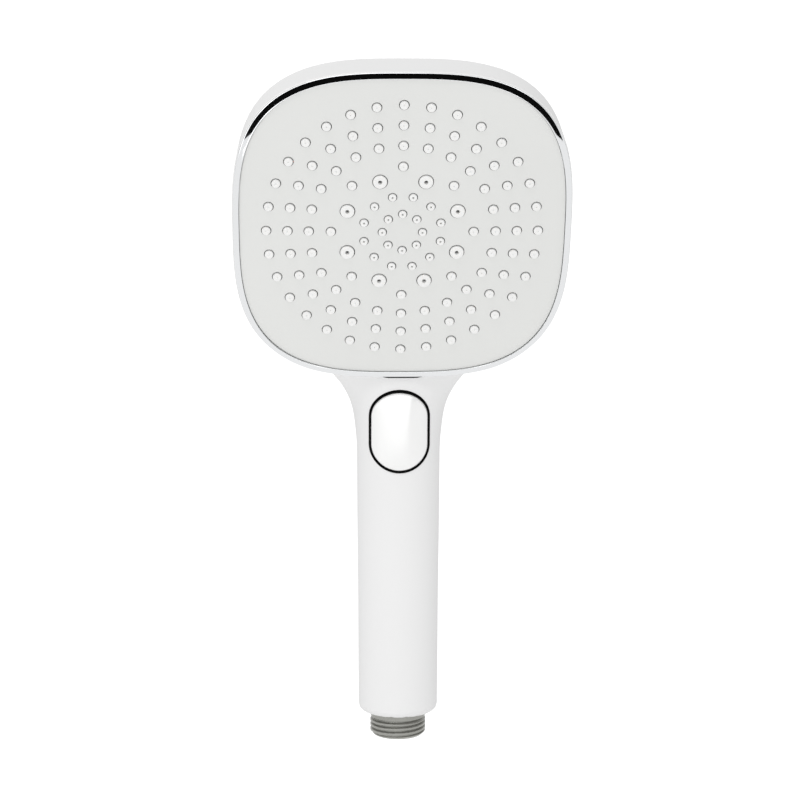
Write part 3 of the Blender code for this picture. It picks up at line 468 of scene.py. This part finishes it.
def neck_form(name, heights, grow=0.0, count=96, least=None):
    """Form of the handle grown by this much; below least[0] it is round, with radius least[1]."""
    rings = []
    turn = np.arange(count) * 2 * math.pi / count
    for z in heights:
        a, c, b = (float(value) for value in neck_section(z))
        a, b = a + grow, b + grow
        if least and z < least[0]:
            a = b = least[1]
        rings.append(np.stack((a * np.cos(turn), c + b * np.sin(turn), turn * 0 + z), 1).tolist())
    points, faces = stack(rings)
    return mesh_object(name, points, faces, smooth=None)


def oval(half_w, half_h, steps=24, straight=5.2):
    """Outline of the button in X and Z about its centre: straight sides, flattened ends."""
    points = []
    for side in (1, -1):
        for step in range(steps + 1):
            t = math.pi * step / steps
            points.append(
                (side * half_w * math.cos(t), side * (straight + (half_h - straight) * math.sin(t)))
            )
    return np.array(points)


def oval_block(name, half_w, half_h, front, back):
    outline = oval(half_w, half_h)
    rings = [[(x, y, BUTTON_Z + z) for x, z in outline] for y in (front, back)]
    points, faces = stack(rings)
    return mesh_object(name, points, faces, smooth=None)


def rim_cutters():
    """Cutters for the shell's front edge, and the slit between ring and neck, whose walls are painted
    near black as painted shade.

    The lid opens the front, the edge rounds it all round but at the neck, and the step lowers it there.
    """
    lid = head_form("lid", [squircle(LID_HALF, 8.0, count=256), squircle(LID_HALF, RIM_TOP, count=256)])
    rounding = [(59.35, -1.25), (59.62, -1.42), (59.85, -1.72), (59.97, -2.1), (60.2, -2.6)]
    rounding += [(64, -2.6), (64, 0), (59.35, 0)]
    edge = head_form("edge", [squircle(half, w, count=256) for half, w in rounding], True)
    across, along = 23.5, (-80, -40)
    block = [(-across, along[0]), (across, along[0]), (across, along[1]), (-across, along[1])]
    modify(edge, "DIFFERENCE", head_form("clear", [[(u, v, w) for u, v in block] for w in (-9, 9)]))
    profile = [(-61.7, -0.9), (-60.2, -1.3), (-50.0, -1.3), (-50.0, 8.0), (-61.7, 8.0)]
    step = head_form("step", [[(u, v, w) for v, w in profile] for u in (-26.0, 26.0)])
    slit = []
    for u, half in ((-6.2, 0.05), (-4.4, 0.4), (6.4, 0.4), (8.2, 0.05)):
        low, high = -60.25 - half, -60.25 + half
        slit.append([(u, high, -3.4), (u, high, 0.0), (u, low, 0.0), (u, low, -3.4)])
    # The slit cutter carries the near-black material into the shell: painted shade between ring and
    # neck
    return [lid, edge, step], head_form("painted_shade_slit", slit, material=SHADED)


def build_shell():
    """Handle and head in one skin, made even, laid on its level, then hollowed and cut."""
    outside = head_form(
        "handle_shell_skin",
        [squircle(HEAD_HALF, OVERHANG, count=128)] + dome_rings(HEAD_HALF, DOME_DEPTH, 10, 128),
    )
    neck = neck_form("neck", np.linspace(*NECK_REACH, 91))
    modify(outside, "UNION", neck, "EXACT")
    remesh = outside.modifiers.new("even", "REMESH")
    remesh.mode, remesh.voxel_size = "VOXEL", VOXEL
    bake(outside)
    outside.data.materials.append(WHITE)
    points = coordinates(outside.data)
    for _ in range(6):
        slope = slope_of(shell_level, points)
        level = shell_level(points)
        points -= slope * (np.clip(level, -1.2, 1.2) / np.maximum((slope**2).sum(1), 0.05))[:, None]
    points[:, 2] = np.minimum(points[:, 2], CAD_BOX[1][2] / MM)
    set_coordinates(outside.data, points)

    inner = HEAD_HALF - WALL
    cavity = head_form(
        "cavity",
        [
            squircle(INNER_HALF, 6.0, count=160),
            squircle(INNER_HALF, -6.3, count=160),
            squircle(inner, -6.3, count=160),
        ]
        + dome_rings(inner, DOME_DEPTH - WALL, 8, 160),
    )
    recess, painted_shade_slit = rim_cutters()
    foot = neck_form("foot", (-5.0, FOOT), 20.0, 48)
    bore = neck_form(
        "bore", [5.0, 20.0, 32.0] + list(np.linspace(40, 168, 33)), -2.35, 96, least=(36.0, 12.2)
    )
    opening = oval_block("opening", BEZEL_W - 0.45, BEZEL_H - 0.45, -30.0, -4.0)
    for cutter in (cavity, *recess, foot, bore, opening, painted_shade_slit):
        modify(outside, "DIFFERENCE", cutter)
    shade_by_level(outside, shell_level)
    take_place(outside, "handle_shell", "shower")


def shade_by_level(obj, level, near=0.05):
    """Normals come from the level where a face lies on its surface, and from the face elsewhere."""
    mesh = obj.data
    mesh.shade_smooth()
    points = coordinates(mesh)
    slope = slope_of(level, points)
    slope /= np.linalg.norm(slope, axis=1)[:, None] + 1e-9
    on_surface = np.abs(level(points)) < near
    starts = np.empty(len(mesh.polygons), int)
    totals = np.empty(len(mesh.polygons), int)
    mesh.polygons.foreach_get("loop_start", starts)
    mesh.polygons.foreach_get("loop_total", totals)
    face_of = np.repeat(np.arange(len(starts)), totals)
    order = np.concatenate([np.arange(s, s + t) for s, t in zip(starts, totals)])
    vertex_of = np.empty(len(mesh.loops), int)
    mesh.loops.foreach_get("vertex_index", vertex_of)
    normals = np.empty(len(mesh.polygons) * 3)
    mesh.polygons.foreach_get("normal", normals)
    normals = normals.reshape(-1, 3)
    loop_normals = np.empty((len(mesh.loops), 3))
    flat = normals[face_of]
    curved = slope[vertex_of[order]]
    take = on_surface[vertex_of[order]] & ((flat * curved).sum(1) > 0.45)
    loop_normals[order] = np.where(take[:, None], curved, flat)
    mesh.normals_split_custom_set([tuple(n) for n in loop_normals])


# ---------------------------------------------------------------- ring, face and nozzles
def face_height(u, v):
    """Front of the spray face: a soft crown, and an edge that rolls down to the ring."""
    r = np.sqrt(u**2 + v**2)
    rho = squircle_norm(u, v, SQUIRCLE)
    roll = np.clip((rho - 54.6) / 2.9, 0, 1)
    return -0.5 + 1.4 * (1 - np.clip(r / 54.0, 0, 1) ** 2) ** 2 - 0.15 * roll**2


def build_trim_ring():
    """Bright ring round the face: a narrow lip, the sloping front, and a foot inside the shell."""
    section = [(57.56, -3.1), (57.56, -0.3), (57.58, -0.14), (57.64, -0.05), (57.74, -0.01)]
    for k in np.linspace(0.0, 1.0, 10):
        section.append((57.85 + 1.55 * k, -0.03 - 0.98 * k - 0.11 * k * k))
    for degrees in np.linspace(35, -8, 5):
        t = math.radians(degrees)
        section.append((59.42 + 0.18 * math.cos(t), -1.2 + 0.12 * math.sin(t)))
    section += [(59.58, -1.25), (58.62, -1.25), (58.6, -5.9), (56.0, -5.9), (56.0, -3.1)]
    rings = []
    for half, height in section:
        ring = np.array(squircle(half, height, count=384))
        if -1.24 < height < -0.03:
            # The lower part lies flatter, so that it mirrors the white round the object
            flatter = np.clip((-ring[:, 1] - 44.0) / 12.0, 0, 1) ** 2
            ring[:, 2] = -0.03 + (height + 0.03) * (1 - 0.75 * flatter)
        rings.append(ring.tolist())
    points, faces = stack(rings, True)
    ring = mesh_object("trim_ring_bright", to_world(points), faces, CHROME, 38.0)
    take_place(ring, "trim_ring", "shower")


NOZZLES = (  # zone, circle radius, count, first angle in degrees, nozzle radius, bore radius
    ("outer", 48.0, 32, 0.0, 1.6, 0.1),
    ("outer", 40.5, 28, 0.0, 1.6, 0.1),
    ("outer", 33.0, 24, 0.0, 1.6, 0.1),
    ("massage", 25.2, 8, 0.0, 1.6, 0.1),
    ("massage", 21.0, 8, 22.5, 2.5, 0.72),
    ("inner", 14.0, 12, 15.0, 1.4, 0.34),
    ("inner", 7.1, 8, 0.0, 1.4, 0.34),
)
NOZZLE_GAP = 0.2  # round a nozzle in its hole
NOZZLE_RISE = 0.64  # of a nozzle above the face


def nozzle_spots(zone=None):
    for ring_zone, ring, count, first, radius, bore in NOZZLES:
        if zone in (None, ring_zone):
            for k in range(count):
                turn = math.radians(90.0 + first + 360.0 * k / count)
                yield ring * math.cos(turn), ring * math.sin(turn), radius, bore


def build_face():
    """Spray face with a flared hole for each nozzle, its walls painted near black as painted shade, and
    the screw bosses behind it.
    """
    rings, count = [[(0.0, 0.0, float(face_height(np.float64(0), np.float64(0))))]], 192
    for half in list(np.linspace(2, 52, 26)) + [53.5, 54.6, 55.3, 56.0, 56.6, 57.1, 57.4]:
        exponent = 2.0 + (SQUIRCLE - 2.0) * min(1.0, max(0.0, (half - 30.0) / 22.0)) ** 2
        ring = np.array(squircle(half, 0.0, exponent, count))
        ring[:, 2] = face_height(ring[:, 0], ring[:, 1])
        rings.append(ring.tolist())
    rings += [squircle(57.5, -1.3, count=count), squircle(57.5, -2.8, count=count)]
    points, faces = stack(rings)
    plate = mesh_object("face_plate_fine", to_world(points), faces, FACE, None)
    holes_points, holes_faces = [], []
    for u, v, radius, _ in nozzle_spots():
        top = float(face_height(np.float64(u), np.float64(v)))
        flare = [(radius + NOZZLE_GAP, -5.0), (radius + NOZZLE_GAP, top - 0.14)]
        flare += [(radius + NOZZLE_GAP + 0.03, top - 0.03), (radius + NOZZLE_GAP + 0.08, top + 0.03)]
        flare.append((radius + NOZZLE_GAP + 0.12, top + 2.0))
        more, sides = stack([circle(r, h, 30, (u, v + 0.1)) for r, h in flare], start=len(holes_points))
        holes_points += more
        holes_faces += sides
    # The hole cutters carry the near-black material onto the hole walls: painted shade round each
    # nozzle
    holes = mesh_object("holes", to_world(holes_points), holes_faces, SHADED, None)
    modify(plate, "DIFFERENCE", holes)
    corners = [(sx * 38.6, sy * 38.6) for sx in (-1, 1) for sy in (-1, 1)]
    boss_points, boss_faces = [], []
    for spot in corners:
        profile = [(2.6, -2.9), (2.6, -10.8), (2.3, -11.1), (1.3, -11.1), (1.3, -4.5), (0, -4.5)]
        more, sides = stack([circle(r, h, 28, spot) for r, h in profile], start=len(boss_points))
        boss_points += more
        boss_faces += sides
    bosses = mesh_object("bosses", to_world(boss_points), boss_faces, FACE, 40.0)

    def level(points):
        u, v, w = to_head(points).T
        return w - face_height(u, v)

    shade_by_level(plate, level, 0.12)
    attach(bosses, "shower")
    bosses.name = "face_plate_bosses"
    take_place(plate, "face_plate", "shower")


def build_mat(node, zone, inner, outer):
    """Sheet with its nozzles: tapered pegs with a rounded lip round the bore."""
    sheet = [(outer, -4.3), (outer, -3.25), (outer - 0.15, -3.1)]
    if inner:
        sheet += [(inner + 0.15, -3.1), (inner, -3.25), (inner, -4.3)]
    else:
        sheet = [(0, -4.3)] + sheet + [(0, -3.1)]
    points, faces = stack([circle(r, h, 96) for r, h in sheet], closed=bool(inner))
    for u, v, radius, bore in nozzle_spots(zone):
        top = float(face_height(np.float64(u), np.float64(v))) + NOZZLE_RISE
        lip = 0.30 if radius > 2 else 0.24
        shape = [(0, -4.0), (radius + 0.02, -4.0), (radius + 0.02, top - 0.75)]
        shape.append((radius - 0.06, top - lip))
        for degrees in (25, 50, 72):
            t = math.radians(degrees)
            shape.append((radius - 0.06 - lip + lip * math.cos(t), top - lip + lip * math.sin(t)))
        edge = bore + 0.16
        shape += [(radius * 0.62 + edge * 0.2, top + 0.01), (edge, top - 0.02)]
        shape += [(bore + 0.04, top - 0.08), (bore, top - 0.2), (bore * 0.9, top - 3.6), (0, top - 3.6)]
        count = 40 if radius > 2 else 26
        more, sides = stack([circle(r, h, count, (u, v)) for r, h in shape], start=len(points))
        points += more
        faces += sides
    mat = mesh_object(f"{node}_fine", to_world(points), faces, SILICONE, 50.0)
    take_place(mat, node, "shower")
    # Near-black plugs down the wide massage bores: painted shade in the holes
    deep = [spot for spot in nozzle_spots(zone) if spot[2] > 2]
    if deep:
        points, faces = [], []
        for u, v, radius, bore in deep:
            top = float(face_height(np.float64(u), np.float64(v))) + NOZZLE_RISE
            shape = [(0, top - 3.4), (bore * 0.86, top - 3.4), (bore * 0.86, top - 1.6)]
            shape += [(bore * 0.6, top - 1.75), (0, top - 1.8)]
            more, sides = stack([circle(r, h, 24, (u, v)) for r, h in shape], start=len(points))
            points += more
            faces += sides
        bore_shade_plugs = mesh_object(f"{node}_bore_painted_shade", to_world(points), faces, SHADED, 50.0)
        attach(bore_shade_plugs, "shower")


# ---------------------------------------------------------------- button
def build_bezel():
    """Chrome surround that follows the neck: outer slope, crest, then down beside the cap; its colour
    is painted near black, a painted dark reflection.
    """
    # Each point is an inset, and a rise over the neck or a fixed y
    section = [
        (0.70, None, -11.2), (0.70, -0.2, None), (0.02, 0.04, None), (0.0, 0.1, None),
        (0.03, 0.18, None), (0.11, 0.26, None), (0.24, 0.33, None), (0.42, 0.36, None),
        (0.58, 0.33, None), (0.7, 0.25, None), (0.79, 0.12, None), (0.82, -0.1, None),
        (0.82, None, -11.2),
    ]
    rings = []
    for inset, rise, fixed in section:
        ring = []
        for x, z in oval(BEZEL_W - inset, BEZEL_H - inset, 32):
            y = fixed if rise is None else float(shell_front(x, BUTTON_Z + z)) - rise
            upper = max(0.0, z / BEZEL_H) ** 2
            ring.append((x, y, BUTTON_Z + z - 0.36 * inset * upper))
        rings.append(ring)
    points, faces = stack(rings, True)
    # Painted dark reflection: the chrome's colour is near black all round
    bezel = mesh_object("button_bezel_bright", points, faces, CHROME_PAINTED_DARK, 50.0)
    take_place(bezel, "button_bezel", "shower")


def weld(obj, distance=0.000002):
    bm = bmesh.new()
    bm.from_mesh(obj.data)
    bmesh.ops.remove_doubles(bm, verts=bm.verts, dist=distance)
    bmesh.ops.recalc_face_normals(bm, faces=bm.faces)
    bm.to_mesh(obj.data)
    bm.free()


CAP_RING = 10  # a face with this many corners is the lid of an open ring, and is dropped


def build_cap():
    """Crowned oval cap with a rounded edge, hollow behind, and the socket for the plunger."""
    half_w, half_h = BEZEL_W - CAP_INSET, BEZEL_H - CAP_INSET
    rings = []

    def ring(inset, depth=None, fixed=None):
        made = []
        for x, z in oval(half_w - inset, half_h - inset, 24, max(0.0, 5.2 - inset * 0.5)):
            share = 1 - min(1.0, inset / half_w)
            y = fixed
            if fixed is None:
                y = float(shell_front(x, BUTTON_Z + z)) - 0.28 + depth - 0.28 * (1 - share**2)
            rise = max(0.0, z / half_h)
            made.append((x, y, BUTTON_Z + z - 0.3 * rise**2))
        return made

    rings.append(ring(1.5, fixed=-10.0))
    rings.append(ring(0.12, fixed=-10.0))
    rings.append(ring(0.0, fixed=-10.12))
    for degrees in np.linspace(0, 90, 7):
        t = math.radians(degrees)
        rings.append(ring(0.5 - 0.5 * math.cos(t), 0.5 - 0.5 * math.sin(t)))
    for inset in (0.8, 1.3, 2.0, 3.0, 4.2, 5.4, 6.6, 7.8, 8.8, 9.4):
        rings.append(ring(inset, 0.0))
    top_centre = (0.0, float(shell_front(0.0, BUTTON_Z)) - 0.56, BUTTON_Z)
    rings.append([top_centre])
    inside = [ring(inset, CAP_WALL) for inset in (9.0, 6.6, 4.2, 2.4, 1.5)]
    points, faces = stack(rings)
    faces = [face for face in faces if len(face) < CAP_RING]
    inside_centre = [(0.0, top_centre[1] + CAP_WALL, BUTTON_Z)]
    more, sides = stack([inside_centre] + inside + [rings[0]], start=len(points))
    points += more
    faces += [face for face in sides if len(face) < CAP_RING]
    boss = [(2.1, -10.2), (3.4, -10.2), (3.6, -10.4), (3.6, -14.9)]
    boss += [(0, -14.9), (0, -12.7), (2.1, -12.7)]
    loops = [circle(r, h, 32) for r, h in boss]
    more, sides = stack(loops[3:] + loops[:3], start=len(points))
    points += [(x, h, BUTTON_Z + y) for x, y, h in more]
    faces += [face for face in sides if len(face) < CAP_RING]
    # The cap's lighter white is painted light
    cap = mesh_object("button_cap_fine", points, faces, WHITE_PAINTED_LIT, 45.0)
    weld(cap)
    take_place(cap, "button_cap", "button")


# ---------------------------------------------------------------- inlet
THREAD_OUT, THREAD_ROOT, PITCH = 10.4775, 9.45, 1.814


def thread_radius(turn, height):
    phase = (height / PITCH - turn / (2 * math.pi)) % 1.0
    ramp = np.clip(1.75 - 3.9 * np.abs(phase - 0.5), 0, 1)
    ramp = ramp * ramp * (3 - 2 * ramp)
    fade = np.clip((height - 0.35) / 1.0, 0, 1) * np.clip((7.0 - height) / 0.9, 0, 1)
    return THREAD_ROOT + (THREAD_OUT - THREAD_ROOT) * ramp * fade


def build_connector():
    """Threaded inlet with its bore, and the flange and groove inside the handle."""
    count = 160
    turn = np.arange(count) * 2 * math.pi / count
    rings = [circle(7.3, 0.0, count), circle(9.0, 0.0, count), circle(9.25, 0.12, count)]
    for height in np.linspace(0.35, 6.85, 92):
        radius = thread_radius(turn, height)
        rings.append(
            np.stack((radius * np.cos(turn), radius * np.sin(turn), turn * 0 + height), 1).tolist()
        )
    for radius, height in (
        (9.5, 7.0), (10.2, 7.12), (10.36, 7.25), (10.38, 9.8), (10.38, 10.0), (11.7, 10.0),
        (11.9, 10.2), (11.9, 16.8), (10.2, 16.8), (10.2, 18.8), (11.9, 18.8), (11.9, 25.7),
        (11.6, 26.0), (8.2, 26.0), (8.0, 25.8), (8.0, 23.7), (5.9, 23.7), (5.9, 20.2),
        (4.2, 20.2), (4.2, 12.0), (7.0, 12.0), (7.0, 0.3),
    ):
        rings.append(circle(radius, height, count))
    points, faces = stack(rings, True)
    inlet = mesh_object("inlet_connector_fine", points, faces, CONNECTOR, 42.0)
    take_place(inlet, "inlet_connector", "shower")


def build_spring():
    """Coil with closed ends."""
    turns, radius, wire, low, high = 5.0, 2.5, 0.38, -0.30, 9.05
    steps, sides = 280, 10
    rings = []
    for step in range(steps + 1):
        share = step / steps
        turn = 2 * math.pi * turns * share
        along = low + wire + (high - low - 2 * wire) * share
        out = np.array((math.cos(turn), 0.0, math.sin(turn)))
        ring = []
        for side in range(sides):
            t = 2 * math.pi * side / sides
            lift = np.array((0.0, along + wire * math.sin(t), BUTTON_Z))
            ring.append(tuple(out * (radius + wire * math.cos(t)) + lift))
        rings.append(ring)
    points, faces = stack(rings)
    spring = mesh_object("return_spring_fine", points, faces, STEEL, 60.0)
    take_place(spring, "return_spring", "shower")
    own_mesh(spring)


def paint_hidden_nodes():
    slots = {part["node"]: part["material_slot"] for part in frame["record"]["subparts"]}
    for node, obj in frame["nodes"].items():
        material = BY_SLOT[slots[node]]
        if not obj.material_slots:
            obj.data.materials.append(material)
        for slot in obj.material_slots:
            slot.material = material


# ---------------------------------------------------------------- stage
AMBIENT, GROUND, PANEL, KEY = 0.74, 0.85, 1.26, 3.5
SEEN = 1.15  # strength of the floor and backdrop to the camera alone


def glowing(name, colour, strength):
    made = bpy.data.materials.new(name)
    made.use_nodes = True
    tree, shader = nodes_of(made)
    shader.inputs["Base Color"].default_value = (*colour, 1)
    shader.inputs["Roughness"].default_value = 1.0
    shader.inputs["Specular IOR Level"].default_value = 0.0
    shader.inputs["Emission Color"].default_value = (1, 1, 1, 1)
    shader.inputs["Emission Strength"].default_value = strength
    return made


def camera_ray_level(tree, others, camera):
    """Strength that is one value for what the camera sees and another for the light given."""
    path = tree.nodes.new("ShaderNodeLightPath")
    level = tree.nodes.new("ShaderNodeMapRange")
    level.inputs["To Min"].default_value = others
    level.inputs["To Max"].default_value = camera
    tree.links.new(path.outputs["Is Camera Ray"], level.inputs["Value"])
    return level.outputs["Result"]


def arc_card(name, material, reach, left, right, low, high, middle):
    """Curved card in front of the object; the angles are seen from its axis at height middle."""
    points, faces = [], []
    columns, rows = 24, 6
    for row in range(rows + 1):
        lift = math.radians(low + (high - low) * row / rows)
        for column in range(columns + 1):
            side = math.radians(-90.0 - left + (left - right) * column / columns)
            flat = reach * math.cos(lift)
            height = middle + reach * math.sin(lift)
            points.append((flat * math.cos(side), flat * math.sin(side), height))
    for row in range(rows):
        for column in range(columns):
            a = row * (columns + 1) + column
            faces.append((a, a + 1, a + columns + 2, a + columns + 1))
    card = mesh_object(name, points, faces, material, None)
    card.visible_camera = card.visible_shadow = False
    card.visible_transmission = card.visible_volume_scatter = False
    return card


def build_stage():
    """Pale floor, and the cards that the ring, the handle and the button reflect."""
    size, level = 30000.0, -700.0
    corners = [(-size, -size, level), (size, -size, level), (size, size, level), (-size, size, level)]
    pale = glowing("floor_white", (0.1, 0.1, 0.1), 0.0)
    tree, shader = nodes_of(pale)
    tree.links.new(camera_ray_level(tree, GROUND, SEEN), shader.inputs["Emission Strength"])
    floor = mesh_object("pale_floor", corners, [(0, 1, 2, 3)], pale, None)
    dark = glowing("black_flag", (0.004, 0.004, 0.004), 0.0)
    flag = arc_card("dark_flag", dark, 1300, 105.0, -105.0, -12.8, 65.0, 235.0)
    flag.visible_diffuse = False
    lit = glowing("fill_panel", (0.0, 0.0, 0.0), PANEL)
    dim = glowing("dim_panel", (0.0, 0.0, 0.0), PANEL * 0.7)
    bright = glowing("bright_panel", (0.0, 0.0, 0.0), PANEL * 1.7)
    panel = arc_card("lit_panel", bright, 520, 64.0, -26.0, -11.0, -5.0, 119.0)
    middle = arc_card("middle_panel", lit, 520, 54.0, -14.0, -14.5, -11.0, 119.0)
    lower = arc_card("lower_panel", dim, 520, 50.0, -14.0, -36.0, -14.5, 119.0)
    upper = arc_card("upper_panel", bright, 520, 40.0, -26.0, -5.0, 5.0, 119.0)


def area_light(name, location, aim, size, power, colour=(1, 1, 1)):
    light = bpy.data.lights.new(name, "AREA")
    light.shape, light.size, light.energy, light.color = "DISK", size, power, colour
    obj = bpy.data.objects.new(name, light)
    bpy.context.scene.collection.objects.link(obj)
    obj.location = location
    obj.rotation_euler = (Vector(aim) - Vector(location)).to_track_quat("-Z", "Y").to_euler()
    obj.visible_camera = False
    return obj


def build_light():
    world = bpy.data.worlds.new("studio")
    bpy.context.scene.world = world
    world.use_nodes = True
    tree = world.node_tree
    back = tree.nodes["Background"]
    back.inputs["Color"].default_value = (1, 1, 1, 1)
    tree.links.new(camera_ray_level(tree, AMBIENT, SEEN), back.inputs["Strength"])
    area_light("soft_key", (-0.25, -0.55, 1.2), (0, -0.02, 0.2), 0.7, KEY)


AIM_X, AIM_Z, DISTANCE = 0.0006, 0.1284, 0.8845  # metres
LENS = 106.56
ELEVATION, TURN, ROLL = 8.8, 1.87, 0.12  # degrees


def build_camera():
    camera = bpy.data.objects.new("camera", bpy.data.cameras.new("camera"))
    bpy.context.scene.collection.objects.link(camera)
    camera.data.lens = LENS
    camera.data.sensor_width = 36.0
    camera.data.clip_start, camera.data.clip_end = 0.05, 80.0
    elevation, turn, roll = (math.radians(angle) for angle in (ELEVATION, TURN, ROLL))
    aim = Vector((AIM_X, 0.0, AIM_Z))
    back = Vector((-math.sin(turn) * math.cos(elevation), -math.cos(turn) * math.cos(elevation), 0))
    camera.location = aim + DISTANCE * (back + Vector((0.0, 0.0, math.sin(elevation))))
    look = (aim - camera.location).to_track_quat("-Z", "Y").to_matrix().to_4x4()
    camera.matrix_world = (
        Matrix.Translation(camera.location) @ look @ Matrix.Rotation(roll, 4, "Z")
    )
    bpy.context.scene.camera = camera


build_camera()
build_shell()
build_trim_ring()
build_face()
build_mat("outer_nozzle_mat", "outer", 29.3, 51.4)
build_mat("massage_nozzle_ring", "massage", 16.9, 28.9)
build_mat("inner_nozzle_mat", "inner", 0.0, 16.5)
build_bezel()
build_cap()
build_connector()
build_spring()
paint_hidden_nodes()
build_stage()
build_light()
bpy.context.scene.view_settings.view_transform = "Standard"
